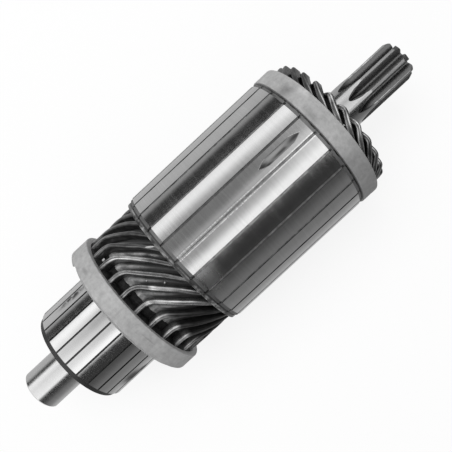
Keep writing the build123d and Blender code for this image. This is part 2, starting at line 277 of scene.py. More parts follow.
def ground_steel():
    """Outside of the core: ground bright, with a smeared edge along one slot, a painted glint along that
    slot's edges, and painted shade and painted highlights in the milled balance cut.
    """
    f, value, rough, normal = metal_finish("ground_steel", 0.60, 0.15, 0.004)
    x, angle, radius = f.around()
    # the grinding wheel has dragged the edge of one slot, more at the commutator end
    speckle = f.noise(1.4, 1.4, 3.0, 0.7, seed=2.0)
    smear = f.times(f.near(angle, -1.0, 1.2, 1.6), f.spread(x, 1.0, 0.0, 5.0, 40.0))
    smear = f.times(smear, f.spread(speckle, 0.0, 1.0, 0.42, 0.58))
    value = f.mix(f.times(smear, 0.4), value, 0.32)
    rough = f.mix(smear, rough, 0.5)
    dull = f.spot(-16.0, 24.0, 5.0, 9.0, 0.9)
    rough = f.mix(f.times(dull, 0.7), rough, 0.40)
    # slot walls and the milled balance cut lie below the ground surface
    below = f.spread(radius, 1.0, 0.0, core_radius - 0.14, core_radius - 0.02)
    milled = f.times(f.near(angle, cut_angle, cut_half_turn, 0.4), f.near(x, cut_x, cut_half_length, 0.5))
    milled = f.times(below, milled)
    # painted shade and painted highlights on the floor of the milled cut: dark spots at its tips and edges,
    # light streaks in its middle
    swirl = f.noise(0.12, 1.6, 3.0, 0.6, seed=11.0)
    floor = f.spread(swirl, 0.28, 0.40)
    for along, *oval, tone in (
        (-9.6, -8.1, 2.4, 3.0, 0.09), (-7.0, -6.2, 2.2, 0.7, 0.10),
        (-1.9, -9.4, 5.0, 0.9, 0.48), (0.8, -7.2, 3.8, 0.8, 0.13),
        (4.6, -8.0, 1.2, 1.2, 0.40), (8.8, -8.2, 3.4, 1.4, 0.10),
        (-0.4, -11.1, 8.0, 0.5, 0.12),
    ):
        floor = f.mix(f.spot(cut_x + along, *oval), floor, tone)
    # painted glint: a speckled line of bright steel painted along both edges of the smeared slot
    from_slot = f.math("ABSOLUTE", f.math("ADD", angle, 1.0))
    burr_glint = f.times(f.near(from_slot, 1.25, 0.32, 0.30), f.spread(speckle, 0.45, 1.0, 0.40, 0.55))
    value = f.mix(burr_glint, value, 1.0)
    value = f.mix(below, value, 0.10)
    value = f.mix(milled, value, floor)
    rough = f.mix(below, rough, 0.42)
    return f.finished(value, rough, normal, Metallic=1.0)


def shaft_steel():
    """Shaft: ground journals, with a greyer hardened pinion."""
    f, value, rough, normal = metal_finish("shaft_steel_finish", 0.64, 0.23, 0.005)
    x, angle, radius = f.around()
    pinion = f.spread(x, 0.0, 1.0, pinion_start - 0.5, pinion_start + 0.5)
    patch = f.noise(0.12, 0.3, 3.0, seed=13.0)
    # the shaft is darker from 62 to 70 mm along onwards, towards the pinion
    value = f.times(value, f.spread(x, 1.0, 0.76, 62.0, 70.0))
    value = f.mix(pinion, value, f.spread(patch, 0.27, 0.39))
    scuffs = f.noise(0.35, 1.4, 4.0, 0.65, seed=17.0)
    for *oval, bare in ((105.0, -64.0, 8.0, 12.0, 0.8), (101.0, 54.0, 5.0, 9.0, 0.55)):
        scuffed = f.times(f.spot(*oval), f.spread(scuffs, 0.0, bare, 0.40, 0.60))
        value = f.mix(scuffed, value, 0.95)
    rough = f.mix(pinion, rough, 0.38)
    # painted shade in the milled grooves, darkest where they run out
    groove_shade = f.spread(radius, 1.0, 0.0, drive_radius - 0.28, drive_radius - 0.08)
    groove_shade = f.times(f.spread(x, 0.0, 1.0, groove_start - 0.7, groove_start + 0.3), groove_shade)
    value = f.mix(groove_shade, value, f.spread(x, 0.09, 0.20, 89.0, 95.0))
    # each run-out starts with painted shade in the shape of a round shallow scoop, wider than the groove,
    # which the mesh doesn't have
    turned = f.math("ADD", angle, tooth_turn + tooth_pitch / 2 + 360.0)
    turned = f.math("MODULO", turned, tooth_pitch)
    away = f.math("ABSOLUTE", f.math("SUBTRACT", turned, tooth_pitch / 2))
    along = f.math("MAXIMUM", f.math("SUBTRACT", x, groove_start), 0.0)
    half_runout_shade = f.math("MINIMUM", f.times(f.math("SQRT", along), 6.0), 14.9)
    runout_shade = f.spread(f.math("SUBTRACT", half_runout_shade, away), 0.0, 1.0, -0.4, 0.5)
    runout_shade = f.times(runout_shade, f.near(x, 89.6, 5.4, 0.4))
    value = f.mix(runout_shade, value, f.spread(x, 0.09, 0.20, 86.0, 95.0))
    rough = f.mix(f.math("MAXIMUM", groove_shade, runout_shade), rough, 0.5)
    # inside the drive end winding the shaft is painted near black: painted shade under the winding, and
    # varnish run down onto it
    shade_and_varnish = f.near(x, (plate_end + winding_end) / 2, (winding_end - plate_end) / 2 - 1.5, 1.0)
    value = f.mix(shade_and_varnish, value, 0.04)
    rough = f.mix(shade_and_varnish, rough, 0.55)
    return f.finished(value, rough, normal, Metallic=1.0)


def end_sheet_steel():
    """End laminations: punched sheet as it left the mill, dull and a little oily."""
    f, value, rough, normal = metal_finish("end_sheet_finish", 0.19, 0.50, 0.01, 0.04, 0.10)
    return f.finished(value, rough, normal, Metallic=0.8)


def fibre_board():
    """End plates: brown fibre board, stained with varnish in streaks around the rim."""
    f = Finish("fibre_board_finish")
    layers = f.noise(0.9, 0.09, 3.0, 0.6, seed=3.0)
    cloud = f.noise(0.50, 0.36, 4.0, 0.7, seed=5.0)
    fine = f.noise(2.5, 2.5, 2.0, seed=9.0)
    value = f.times(f.spread(layers, 0.04, 0.19, 0.35, 0.65), f.spread(cloud, 0.15, 1.7, 0.36, 0.64))
    # the toothed sheet behind the rim lies in its shade and has taken up more varnish
    x, _, _ = f.around()
    behind = f.near(x, plate_start + 1.9, 0.4, 0.2)
    value = f.mix(behind, value, 0.03)
    normal = f.bump(f.math("ADD", layers, f.times(fine, 0.4)), 0.12)
    return f.finished(value, f.spread(cloud, 0.35, 0.6), normal)


def bar_metal():
    """Brush track: skimmed bright and faintly clouded, with two dark stains."""
    f, value, rough, normal = metal_finish("bar_finish", 0.67, 0.15, 0.001, 0.02, 0.06)
    _, _, radius = f.around()
    grime = f.noise(0.5, 0.5, 5.0, 0.6, seed=6.0)
    for *oval, least in (
        (-71.0, -54.5, 7.0, 3.5, 0.2),
        (-77.0, 66.0, 4.4, 7.5, 0.9),
        (-71.5, 70.0, 2.6, 4.0, 0.6),
    ):
        stain = f.times(f.spot(*oval), f.spread(grime, least, 1.0, 0.35, 0.55))
        value = f.mix(f.times(stain, 0.95), value, 0.06)
        rough = f.mix(stain, rough, 0.5)
    # undercut sides, and risers beyond the track
    undercut = f.spread(radius, 1.0, 0.0, track_radius - 0.30, track_radius - 0.05)
    riser = f.spread(radius, 0.0, 1.0, track_radius + 0.15, track_radius + 1.15)
    rough_cut = f.math("MAXIMUM", undercut, riser)
    value = f.mix(rough_cut, value, 0.10)
    rough = f.mix(rough_cut, rough, 0.6)
    return f.finished(value, rough, normal, Metallic=1.0)


def dull_finish(name, tone, spread, roughness, scale, bump=0.05, specular=0.5):
    """Board, paper, mica or moulding: a matt grey with cloudy and fine variation."""
    f = Finish(name)
    cloud = f.noise(scale * 0.25, scale * 0.25, 4.0, seed=1.0)
    fine = f.noise(scale * 3, scale * 3, 3.0, 0.6, seed=5.0)
    value = f.vary(tone, cloud, spread * 2)
    value = f.vary(value, fine, spread)
    value = f.math("MAXIMUM", value, 0.005)
    rough = f.vary(roughness, cloud, 0.2)
    return f.finished(value, rough, f.bump(fine, bump), Specular_IOR_Level=specular)


def band_finish():
    """Bands: glass tape in pale resin, mottled, with faint seams around and a few dark spots."""
    f = Finish("band_finish")
    x, angle, _ = f.around()
    mottle = f.noise(0.22, 0.22, 4.0, 0.6, seed=3.0)
    cloud = f.noise(0.05, 0.05, 2.0, seed=7.0)
    strands = f.noise(2.2, 0.03, 3.0, 0.6, seed=1.0)
    value = f.vary(0.31, mottle, 0.14)
    value = f.vary(value, cloud, 0.12)
    value = f.vary(value, strands, 0.05)
    value = f.vary(value, f.noise(0.5, 0.5, 3.0, 0.6, seed=12.0), 0.20)
    # the drive end band is darker at angles past 8 to 34 degrees round the shaft
    darker_side = f.times(f.spread(x, 0.0, 1.0, 40.0, 50.0), f.spread(angle, 0.0, 1.0, 8.0, 34.0))
    value = f.mix(f.times(darker_side, 0.45), value, 0.10)
    spots = (
        (-54.6, -40.0, 0.8, 3.0, 0.75), (-53.5, -2.3, 3.2, 0.7, 0.85),
        (-54.0, -18.0, 1.2, 1.6, 0.8), (-53.0, 24.0, 0.3, 5.0, 0.8),
        (61.0, -36.0, 2.6, 5.0, 0.60), (65.5, -25.0, 1.2, 4.0, 1.25),
        (60.5, -11.0, 1.6, 5.0, 0.80),
    )
    for *oval, keep in spots:
        value = f.mix(f.spot(*oval), value, f.times(value, keep))
    rough = f.spread(mottle, 0.40, 0.62)
    height = f.math("ADD", f.times(strands, 0.5), mottle)
    return f.finished(value, rough, f.bump(height, 0.12), Specular_IOR_Level=0.4)


def conductor_finish():
    """Conductors: copper with dark baking varnish, worn along the edges where lines of painted highlight
    also lie, with painted highlights and painted shade that the mesh gives at each point.
    """
    f = Finish("conductor_finish")
    flow = f.noise(0.30, 0.30, 3.0, 0.5, seed=2.0)
    pits = f.noise(1.8, 1.8, 3.0, 0.6, seed=6.0)
    edge = f.attribute("edge")
    painted_highlight = f.attribute("painted_highlight")
    painted_shade = f.attribute("painted_shade")
    # varnish worn at the edges and lines of painted highlight there, at once
    worn_and_highlit = f.times(f.spread(edge, 0.0, 1.0, 0.3, 0.95), f.spread(flow, 0.5, 1.0, 0.35, 0.65))
    value = f.mix(worn_and_highlit, f.spread(flow, 0.10, 0.18), f.spread(pits, 0.38, 0.54))
    # painted highlight: the varnish is painted bright where the mesh gives its level
    value = f.mix(f.times(painted_highlight, f.spread(edge, 0.45, 1.0, 0.0, 0.8)), value, 0.95)
    # painted shade: the mesh's level of it darkens the conductors down to a quarter
    value = f.mix(painted_shade, value, f.times(value, 0.25))
    rough = f.mix(painted_shade, f.spread(pits, 0.26, 0.36), 0.55)
    normal = f.bump(flow, 0.03)
    return f.finished(value, rough, normal, Metallic=0.9, Coat_Weight=0.4, Coat_Roughness=0.15)


def varnished_paper():
    """Paper between the layers: dark with varnish, with painted shade beside the conductors and painted
    light along the ridges between them, paler at its cut edge, and painted highlights where the ridges are
    brightest.
    """
    f = Finish("sleeve_paper_finish")
    cloud = f.noise(0.45, 0.45, 4.0, 0.6, seed=1.0)
    strands = f.noise(2.0, 2.0, 3.0, 0.6, seed=8.0)
    painted_ridge_light = f.attribute("painted_ridge_light")
    x, _, _ = f.around()
    # painted shade beside the conductors, painted light along the ridges between them
    value = f.mix(f.spread(painted_ridge_light, 0.0, 1.0, 0.55, 1.0), 0.045, f.spread(cloud, 0.10, 0.26))
    dry = f.spread(x, 1.0, 0.0, paper_start + 1.0, paper_start + 5.5)
    dry = f.times(dry, f.spread(painted_ridge_light, 0.0, 1.0, 0.05, 0.5))
    value = f.mix(dry, value, f.spread(cloud, 0.11, 0.31))
    # painted highlights where the ridges are brightest
    value = f.mix(f.spread(painted_ridge_light, 0.0, 1.0, 1.1, 1.7), value, f.spread(cloud, 0.30, 0.44))
    value = f.vary(value, strands, 0.05)
    rough = f.spread(cloud, 0.40, 0.60)
    return f.finished(value, rough, f.bump(strands, 0.05), Specular_IOR_Level=0.4)


finishes = {
    "core_stack": ground_steel(),
    "armature_shaft": shaft_steel(),
    "end_laminations": end_sheet_steel(),
    "end_plates": fibre_board(),
    "slot_liners": dull_finish("slot_paper_finish", 0.16, 0.03, 0.7, 1.5),
    "mica_segments": dull_finish("mica_finish", 0.045, 0.015, 0.6, 1.5),
    "commutator_moulding": dull_finish("moulding_finish", 0.022, 0.006, 0.42, 0.8, 0.04),
}
bar_material = bar_metal()
for name, node in nodes.items():
    material = finishes.get(name) or (bar_material if name.startswith("commutator_bar") else None)
    if material:
        for slot in node.material_slots:
            slot.material = material


def make_mesh(name, points, faces, material):
    """Mesh object from points in metres."""
    mesh = bpy.data.meshes.new(name)
    mesh.from_pydata(points, [], faces)
    mesh.materials.append(material)
    made = bpy.data.objects.new(name, mesh)
    bpy.context.collection.objects.link(made)
    return made


def make_piece(name, points, faces, material, smooth_angle=None):
    """Smooth mesh piece from points in mm, riding on the part."""
    piece = make_mesh(name, [p * MM for p in points], faces, material)
    mesh = piece.data
    mesh.validate()
    mesh.polygons.foreach_set("use_smooth", [True] * len(mesh.polygons))
    if smooth_angle:
        mesh.set_sharp_from_angle(angle=math.radians(smooth_angle))
    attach(piece, BODY)
    return piece


def give_levels(piece, name, levels):
    """Give a piece a number at each point, which its material reads."""
    piece.data.attributes.new(name, "FLOAT", "POINT").data.foreach_set("value", levels)


def sides(base, rows, count):
    """Faces between rows of points, of which each row is a closed outline."""
    faces = []
    for p in range(base, base + (rows - 1) * count, count):
        for i in range(count):
            j = (i + 1) % count
            faces.append((p + i, p + count + i, p + count + j, p + j))
    return faces


def caps(base, rows, count):
    """Faces that close the two ends of such rows."""
    last = base + (rows - 1) * count
    return [tuple(range(base, base + count)), tuple(range(last + count - 1, last - 1, -1))]


# Winding: the same sizes as in the part's source, with rounded bars and finer bends
coil_count = 25
slot_pitch = 360 / coil_count
slot_turn = -1.0
outer_radius = 33.3
inner_radius = 28.1
layer_pitch = outer_radius - inner_radius
coil_throw = 6
conductor_width = 2.5
conductor_height = 4.2
conductor_hollow = 0.09
outer_bend_x = conductor_start + 16.2
gentle_length = 13.0
gentle_turn = 24.05
slot_bend_x = plate_start + 0.35
drive_bend_x = plate_end + 1.925
nose_turn = 8.0
nose_twist = 20.0
# How far a conductor wanders and sinks in mm, and twists in degrees, where it is free
most_wander = 0.30
most_sink = 0.2
most_twist = 6.0
sway_range = 9
outer_bar_turn = slot_turn - 36.8
bend_steps = 7
wrap_step = 2.5
nose_steps = 14
corner_steps = 4
# How far the varnish is worn at each step round a corner, from the side of the bar to its top; the same
# levels lay lines of painted highlight along the edges
riser_wear_and_highlight = (0.0, 0.0, 0.17, 0.96, 0.65)
drive_wear_and_highlight = (0.0, 0.2, 0.85, 1.0, 0.25)


def heading(start, end):
    return math.atan2(end[1] - start[1], end[0] - start[0])


def rounded_route(corners, bends, radius):
    """Stations, each x, angle, radius and heading, along a layer of the winding."""
    points = [(x, radius * math.radians(angle)) for x, angle in corners]
    marks = [(points[0], heading(points[0], points[1]))]
    for before, corner, after, bend in zip(points, points[1:], points[2:], bends):
        first, last = heading(before, corner), heading(corner, after)
        turn = (last - first + math.pi) % (2 * math.pi) - math.pi
        side = 1 if turn > 0 else -1
        reach = bend * math.tan(abs(turn) / 2)
        centre_x = corner[0] - reach * math.cos(first) - side * bend * math.sin(first)
        centre_u = corner[1] - reach * math.sin(first) + side * bend * math.cos(first)
        for step in range(bend_steps + 1):
            way = first + turn * step / bend_steps
            x, u = centre_x + side * bend * math.sin(way), centre_u - side * bend * math.cos(way)
            marks.append(((x, u), way))
    marks.append((points[-1], heading(points[-2], points[-1])))
    stations = []
    for (start, way), (end, next_way) in zip(marks, marks[1:]):
        stations.append((start[0], math.degrees(start[1] / radius), radius, way))
        length = math.hypot(end[0] - start[0], end[1] - start[1])
        spans = math.ceil(length / wrap_step)
        if abs(way - next_way) < 1e-6 and length < 60:
            for span in range(1, spans):
                x, u = (a + (b - a) * span / spans for a, b in zip(start, end))
                stations.append((x, math.degrees(u / radius), radius, way))
    end, way = marks[-1]
    stations.append((end[0], math.degrees(end[1] / radius), radius, way))
    return stations


inner_slot_turn = slot_turn - coil_throw * slot_pitch
outer_nose_turn = slot_turn - (coil_throw * slot_pitch - nose_turn) / 2
inner_nose_turn = outer_nose_turn - nose_turn
outer_nose_length = outer_radius * math.radians(nose_turn)
inner_nose_length = inner_radius * math.radians(nose_turn)
outer_drive_run = outer_radius * math.radians(slot_turn - outer_nose_turn)
inner_drive_run = inner_radius * math.radians(inner_nose_turn - inner_slot_turn)
slant_share = (outer_nose_length / outer_drive_run + inner_nose_length / inner_drive_run) / 8
nose_apex_x = winding_end - conductor_width / 2
nose_start_x = drive_bend_x + (nose_apex_x - drive_bend_x) / (1 + slant_share)
slant_length = nose_start_x - drive_bend_x
inner_bar_turn = outer_bar_turn - slot_pitch


def nose_point(share):
    """Point on the nose of a hairpin, from 0 at the outer layer to 1 at the inner layer."""
    angle = outer_nose_turn - nose_turn * share
    radius = outer_radius - layer_pitch * share**2 * (3 - 2 * share)
    rise_out = slant_length * outer_nose_length / outer_drive_run
    rise_in = slant_length * inner_nose_length / inner_drive_run
    x = nose_start_x + rise_out * share * (1 - share) ** 2 + rise_in * share**2 * (1 - share)
    return x, angle, radius


def coil_route():
    """Centre line of the first coil: point, direction and outward direction at each station."""
    route = []
    legs = (
        (
            [
                (conductor_start, outer_bar_turn),
                (outer_bend_x, outer_bar_turn),
                (outer_bend_x + gentle_length, outer_bar_turn + gentle_turn),
                (slot_bend_x, slot_turn),
                (drive_bend_x, slot_turn),
                (nose_start_x, outer_nose_turn),
            ],
            [8.5, 8.0, 1.5, 3.0],
            outer_radius,
        ),
        (
            [
                (nose_start_x, inner_nose_turn),
                (drive_bend_x, inner_slot_turn),
                (slot_bend_x, inner_slot_turn),
                (outer_bend_x, inner_bar_turn),
                (conductor_start, inner_bar_turn),
            ],
            [3.0, 1.5, 6.0],
            inner_radius,
        ),
    )
    for leg, (corners, bends, radius) in enumerate(legs):
        for x, angle, at_radius, way in rounded_route(corners, bends, radius):
            along = Vector((math.cos(way), 0, 0)) + onward(angle) * math.sin(way)
            route.append((place(x, angle, at_radius), along, outward(angle)))
        if leg == 0:
            for step in range(1, nose_steps):
                share = step / nose_steps
                ahead = place(*nose_point(share + 0.001)) - place(*nose_point(share - 0.001))
                route.append((place(*nose_point(share)), ahead.normalized(), outward(nose_point(share)[1])))
    return route


def bar_section(corner_radius, wear):
    """Rounded outline of a conductor: across, outwards, and how far its varnish is worn there."""
    outline = []
    half_width = conductor_width / 2 - corner_radius
    half_height = conductor_height / 2 - corner_radius
    for corner, (side, top) in enumerate(((1, 1), (-1, 1), (-1, -1), (1, -1))):
        for step in range(corner_steps + 1):
            turn = math.radians(90 * (corner + step / corner_steps))
            level = wear[step] if corner in (0, 2) else wear[corner_steps - step]
            u = side * half_width + corner_radius * math.cos(turn)
            v = top * half_height + corner_radius * math.sin(turn)
            outline.append((u, v, level))
        if corner in (0, 2):
            outline.append((0.0, top * (conductor_height / 2 - conductor_hollow), 0.0))
    return outline


# Places where highlights are painted on the outside of the winding: x, angle, half sizes, how bright
painted_highlight_spots = (
    (-41.8, -34.5, 2.6, 4.5, 0.75), (-38.0, -28.5, 3.0, 5.0, 0.65),
    (-34.0, -21.0, 3.0, 5.0, 0.4), (-36.6, 1.8, 1.6, 3.2, 1.0),
    (-33.0, 8.5, 3.0, 5.0, 0.3), (-28.0, 19.3, 3.0, 5.0, 0.3),
    (-42.6, 7.5, 1.2, 2.5, 0.8), (-38.0, 12.8, 3.0, 4.5, 0.5),
    (-34.0, 20.0, 3.0, 5.0, 0.7), (-30.0, 27.8, 3.0, 5.0, 0.65),
    (-26.5, 35.5, 2.5, 4.5, 0.5), (-44.4, 19.7, 1.5, 3.0, 0.8),
    (-41.0, 23.5, 1.6, 3.5, 0.7), (-45.2, 33.7, 1.4, 3.0, 0.7),
    (-42.2, 34.6, 1.3, 3.0, 1.0), (-46.1, 48.0, 1.6, 3.0, 0.6),
    (-43.2, 48.6, 1.3, 3.0, 1.0), (-46.9, 62.5, 1.8, 3.5, 0.8),
)
# Angle round the shaft about which the drive end strands get painted highlights
brightest_turn = 12.0
# Slanting parts of the conductors before and after these places get painted shade
first_lit_turn = outer_bar_turn - 7.0
last_lit_turn = outer_bar_turn + 3 * slot_pitch + 7.0


def painted_highlight_at(x, angle):
    """How bright a highlight is painted on the outside of the winding at a place, from 0 to 1."""
    bare = 0.0
    for *oval, most in painted_highlight_spots:
        bare = max(bare, most * held(1.5 - from_middle(x, angle, *oval)))
    return bare


def painted_side_shade(x, angle):
    """How much painted shade the winding gets at a place, from 0 to 1."""
    at_bar = angle - conductor_turn(x)
    past = held((at_bar - last_lit_turn) / 5)
    before = min(0.45, max(0.0, (first_lit_turn - at_bar) / 5))
    return max(past, before) * held((x - outer_bend_x) / 2.5) * (1.0 if angle < 140 else 0.0)


def conductor_turn(x):
    """Angle that the outer conductors have turned through at a place along the commutator end."""
    gentle_end = outer_bend_x + gentle_length
    if x < outer_bend_x:
        return 0.0
    if x < gentle_end:
        return gentle_turn * (x - outer_bend_x) / gentle_length
    steep = slot_turn - outer_bar_turn - gentle_turn
    return gentle_turn + steep * min(1.0, (x - gentle_end) / (slot_bend_x - gentle_end))


def build_coils():
    """25 bent conductors, each a little different where it is free of the slots."""
    route = coil_route()
    riser_section = bar_section(1.0, riser_wear_and_highlight)
    drive_section = bar_section(0.7, drive_wear_and_highlight)
    material = conductor_finish()
    random.seed(7)
    for coil in range(coil_count):
        turn = Matrix.Rotation(math.radians(coil * slot_pitch), 3, "X")
        sway = Vector([random.uniform(-sway_range, sway_range) for _ in range(3)])
        points, edges, painted_highlight, painted_shade = [], [], [], []
        for centre, along, out in route:
            # 0 where the slots and the risers hold the conductor, 1 where it is free
            free = held(max((plate_start - 1.5 - centre.x) / 6, (centre.x - plate_end - 1.0) / 4))
            free *= held((centre.x - conductor_start - 8.0) / 8)
            across = along.cross(out).normalized()
            wave = noise.noise(centre * 0.07 + sway) * most_wander * free
            lift = min(0.0, noise.noise(centre * 0.06 - sway)) * most_sink * free
            twist = noise.noise(centre * 0.05 + sway * 2) * math.radians(most_twist) * free
            # past the band the bars are twisted on their way to the nose
            turned_out = held((centre.x - drive_band_end) / 3.5)
            turned_out *= held((math.hypot(centre.y, centre.z) - inner_radius - 1.0) / 2.5)
            twist += math.radians(nose_twist) * turned_out
            middle = centre + across * wave + out * lift
            top = across.cross(along).normalized()
            if top.dot(out) < 0:
                top = -top
            a = across * math.cos(twist) + top * math.sin(twist)
            b = top * math.cos(twist) - across * math.sin(twist)
            # the corners are rounder at the noses and at the commutator end
            sharp = held((winding_end - 2.2 - centre.x) / 2.5) if centre.x > core_end else 0.0
            for first, second in zip(riser_section, drive_section):
                u, v, wear = (a0 + (a1 - a0) * sharp for a0, a1 in zip(first, second))
                point = turn @ (middle + a * u + b * v)
                points.append(point)
                outward_reach = math.hypot(point.y, point.z)
                turned = math.degrees(math.atan2(-point.y, point.z))
                if point.x < plate_start:
                    fade = 1.0 - 0.35 * held((point.x - outer_bend_x) / 12.0)
                    edges.append(wear * fade)
                    outside = v > 0.8 and outward_reach > outer_radius
                    painted_highlight.append(painted_highlight_at(point.x, turned) if outside else 0.0)
                    painted_shade.append(painted_side_shade(point.x, turned))
                else:
                    deep = held((outer_radius - 0.8 - outward_reach) / 1.5)
                    nose = held((point.x - winding_end + 2.2) / 1.2)
                    bare = noise.noise(point * 0.28) * 1.8 + 0.25 + 0.40 * nose
                    # painted highlights on the edges, tops and noses of the drive end strands, brightest
                    # about 12 degrees round
                    lit_share = held(1.35 - abs(turned - brightest_turn) / 45.0)
                    edges.append(wear * (0.55 + 0.45 * lit_share))
                    painted_highlight.append(held(bare) * lit_share if outward_reach > outer_radius - 1.3 else 0.0)
                    # painted shade on the strands at negative angles and in the inner layer, and the
                    # middles of the bars darker away from their worn edges
                    shaded = held((-turned - 22.0) / 10.0)
                    painted_shade.append(max(0.9 * (1 - wear), 0.8 * deep, 0.7 * shaded))
        size = (0, len(route), len(drive_section))
        name = f"bent_conductor_{coil + 1:02d}"
        piece = make_piece(name, points, sides(*size) + caps(*size), material, 50)
        give_levels(piece, "edge", edges)
        give_levels(piece, "painted_highlight", painted_highlight)
        give_levels(piece, "painted_shade", painted_shade)
        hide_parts(f"hairpin_coil_{coil + 1:02d}")


build_coils()


# Bands and paper: rings whose outline changes a little around the shaft
ripple_radius = 30


def uneven(x, angle, scale, shift=(0, 0, 0)):
    """Slow unevenness along and around the shaft, from -1 to 1."""
    return noise.noise(place(x, angle, ripple_radius) * scale + Vector(shift))


def ring_piece(name, outline, steps, material, shape, smooth_angle=35):
    """Ring with a closed outline of (x, radius) points; shape moves a point by its angle."""
    points = []
    for step in range(steps):
        angle = 360 * step / steps
        for corner in outline:
            x, radius = shape(*corner, (angle + 180) % 360 - 180)
            points.append(place(x, angle, radius))
    count = len(outline)
    faces = []
    for step in range(steps):
        near, far = step * count, ((step + 1) % steps) * count
        for i in range(count):
            j = (i + 1) % count
            faces.append((near + i, near + j, far + j, far + i))
    return make_piece(name, points, faces, material, smooth_angle)


band_inner = 35.45
band_outer = 38.38
band_steps = 360
resin_lip = 1.35
resin_steps = 240
band_material = band_finish()


def band_outline(start, end, lip=0.0):
    """Section of a band: soft outer corners, and a lip of resin at the foot of its first side."""
    corner = 0.5
    outline = [(start - lip, band_inner)]
    if lip:
        outline += [(start - lip, band_inner + 0.1), (start - 0.1, band_inner + 1.5)]
    outline.append((start, band_outer - corner))
    turns = [math.radians(90 * step / 4) for step in range(1, 4)]
    curve = [(corner * (1 - math.cos(turn)), band_outer - corner * (1 - math.sin(turn))) for turn in turns]
    outline += [(start + x, radius) for x, radius in curve]
    spans = 10
    for step in range(spans + 1):
        outline.append((start + corner + (end - start - 2 * corner) * step / spans, band_outer))
    outline += [(end - x, radius) for x, radius in reversed(curve)]
    outline += [(end, band_outer - corner), (end, band_inner)]
    return outline


def commutator_band_shape(x, radius, angle):
    """The tape ends in a step near the top of the part, and is wider before it."""
    if radius < band_outer - 1.2:
        return x, radius
    wide = 1.0 if -150 < angle < -53.5 else 0.0
    low = 0.10 + 0.07 * uneven(x, angle, 0.11, (1, 1, 1)) + (0.0 if wide else 0.12)
    if x < band_start + 0.7:
        x -= 0.9 * wide
        x += 0.12 * uneven(x, angle, 0.3)
    return x, radius - low


def drive_band_shape(x, radius, angle):
    if radius < band_outer - 1.2:
        return x, radius
    seam = 0.08 if abs((x - drive_band_start - 4.1) - 0.01 * angle) < 0.5 else 0.0
    return x, radius - 0.08 - 0.07 * uneven(x, angle, 0.11, (5, 5, 5)) - seam


commutator_band = ring_piece(
    "commutator_end_band",
    band_outline(band_start, band_end, resin_lip),
    band_steps,
    band_material,
    commutator_band_shape,
)
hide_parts("commutator_band")
drive_band = ring_piece(
    "drive_end_band",
    band_outline(drive_band_start, drive_band_end),
    band_steps,
    band_material,
    drive_band_shape,
)
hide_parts("drive_band")

paper_material = varnished_paper()
sleeve_radius = 31.0


def between_conductors(x, angle):
    """How near a place is to the middle between two outer conductors, from 0 to 1."""
    return (1 - math.cos(math.radians((angle - outer_bar_turn - conductor_turn(x)) * 360 / slot_pitch))) / 2


def commutator_paper_shape(x, radius, angle):
    """Paper: an uneven cut edge, and a surface that bulges up between the outer conductors."""
    if x < paper_start + 1.0:
        x += 0.35 * uneven(x, angle, 0.25)
    swell = 0.8 + 0.6 * uneven(x, angle, 0.16)
    inside = radius < sleeve_radius - 0.3
    return x, radius - 0.15 + (0.0 if inside else 1.5 * between_conductors(x, angle) ** 3 * swell)


def drive_paper_shape(x, radius, angle):
    if x > paper_end - 1.0:
        x += 0.35 * uneven(x, angle, 0.25) - 0.2
    return x, radius - 0.12 * (1 + uneven(x, angle, 0.2))


def sleeve_outline(start, end, outer):
    inner = outer - 0.6
    spans = 24
    top = [(start + (end - start) * i / spans, outer) for i in range(spans + 1)]
    return top + [(x, inner) for x, _ in reversed(top)]


commutator_paper = ring_piece(
    "commutator_end_paper",
    sleeve_outline(paper_start + 0.2, plate_start - 0.2, sleeve_radius),
    400,
    paper_material,
    commutator_paper_shape,
    60,
)
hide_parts("layer_sleeves")
drive_paper = ring_piece(
    "drive_end_paper",
    sleeve_outline(plate_end + 0.25, paper_end - 0.1, sleeve_radius),
    240,
    paper_material,
    drive_paper_shape,
)
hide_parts("layer_sleeves")

# Places where the painted highlight along the paper's ridges is brightest: x, angle, half sizes
painted_ridge_highlights = ((-32.5, -25.0, 4.5, 7.0), (-27.9, -16.9, 3.0, 6.0), (-24.9, -19.8, 1.8, 4.0))
for paper in (commutator_paper, drive_paper):
    levels = []
    for vertex in paper.data.vertices:
        x, y, z = vertex.co / MM
        turned = math.degrees(math.atan2(-y, z))
        fade = 1.0 - 0.5 * held((x - paper_start - 6.0) / 10.0)
        pale = max(held(1.0 - from_middle(x, turned, *oval)) for oval in painted_ridge_highlights)
        between = between_conductors(x, turned)
        fade += pale * 0.8 * between**6
        levels.append(between * fade if x < 0 else 0.3)
    give_levels(paper, "painted_ridge_light", levels)


def resin_shape(x, radius, angle):
    if x > band_end:
        x += 0.5 * uneven(x, angle, 0.3)
        radius += 0.5 * uneven(x, angle, 0.35, (9, 0, 0))
    return x, radius


# Resin that has run out from under the commutator end band, between and below the conductors
resin_spans = 6
resin_floor = 30.55
resin_end = paper_start + 0.6
resin_outline = [
    (band_end - 2.0, resin_floor - 0.3),
    (band_end - 2.0, 35.4),
    (band_end + 0.2, 35.0),
    (band_end + 0.7, 34.1),
    (band_end + 1.1, 33.0),
    (band_end + 1.3, resin_floor + 0.7),
]
for span in range(resin_spans + 1):
    resin_outline.append((band_end + 2.0 + (resin_end - band_end - 2.0) * span / resin_spans, resin_floor))
resin_outline.append((resin_end, resin_floor - 0.3))
resin_material = dull_finish("band_resin_finish", 0.012, 0.020, 0.40, 1.6, 0.20, 0.25)
ring_piece("band_resin", resin_outline, resin_steps, resin_material, resin_shape)


def nose_resin_shape(x, radius, angle):
    """Resin between the layers ends unevenly, a little further out under each nose."""
    if x > drive_band_end:
        x += 0.7 * uneven(x, angle, 0.3, (0, 4, 0))
        radius += 0.3 * uneven(x, angle, 0.4)
    return x, radius


